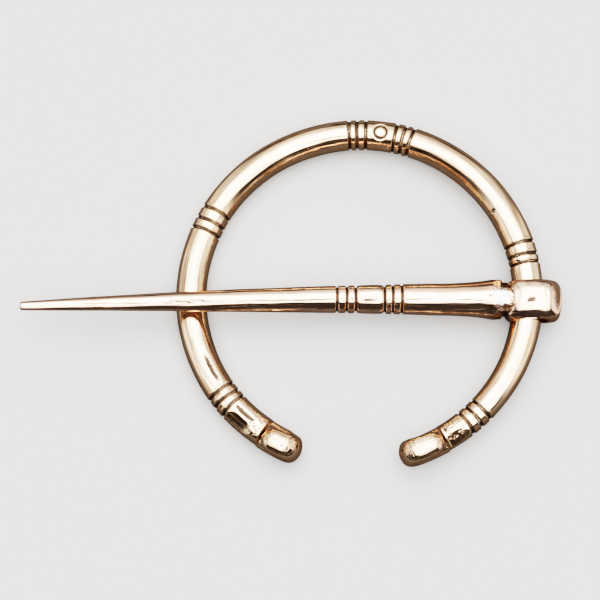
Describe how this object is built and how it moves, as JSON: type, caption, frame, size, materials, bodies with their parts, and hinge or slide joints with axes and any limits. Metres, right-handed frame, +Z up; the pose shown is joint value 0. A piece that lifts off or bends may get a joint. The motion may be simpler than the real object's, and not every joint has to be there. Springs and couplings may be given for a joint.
{
  "type": "penannular fibula brooch",
  "caption": "Open ring brooch in polished bronze with grooved bands and folded-back ends, and a tapered pin that swings on the ring by a loop.",
  "frame": {"origin": "on the surface that the brooch lies on, under the middle of its box", "axes": "+X along the pin from its point to its head, +Y away from the gap in the hoop, +Z up, out of the brooch's face"},
  "size_m": [0.0614, 0.041, 0.0064],
  "materials": {
    "hoop_bronze": "polished bronze, hand finished, with dark brown patina left in the grooves and folds",
    "pin_bronze": "polished bronze of a slightly redder cast, with dark patina in the grooves and a bright solder seam"
  },
  "bodies": {
    "hoop": {"hoop": "hoop_bronze"},
    "pin": {"pin": "pin_bronze"}
  },
  "joints": [
    {"name": "pin_swing", "type": "hinge", "parent": "hoop", "child": "pin", "pos_m": [0.02692, -0.00149, 0.00322], "axis": [0.054, 0.9985, 0.0021], "range_deg": [0, 348]}
  ]
}
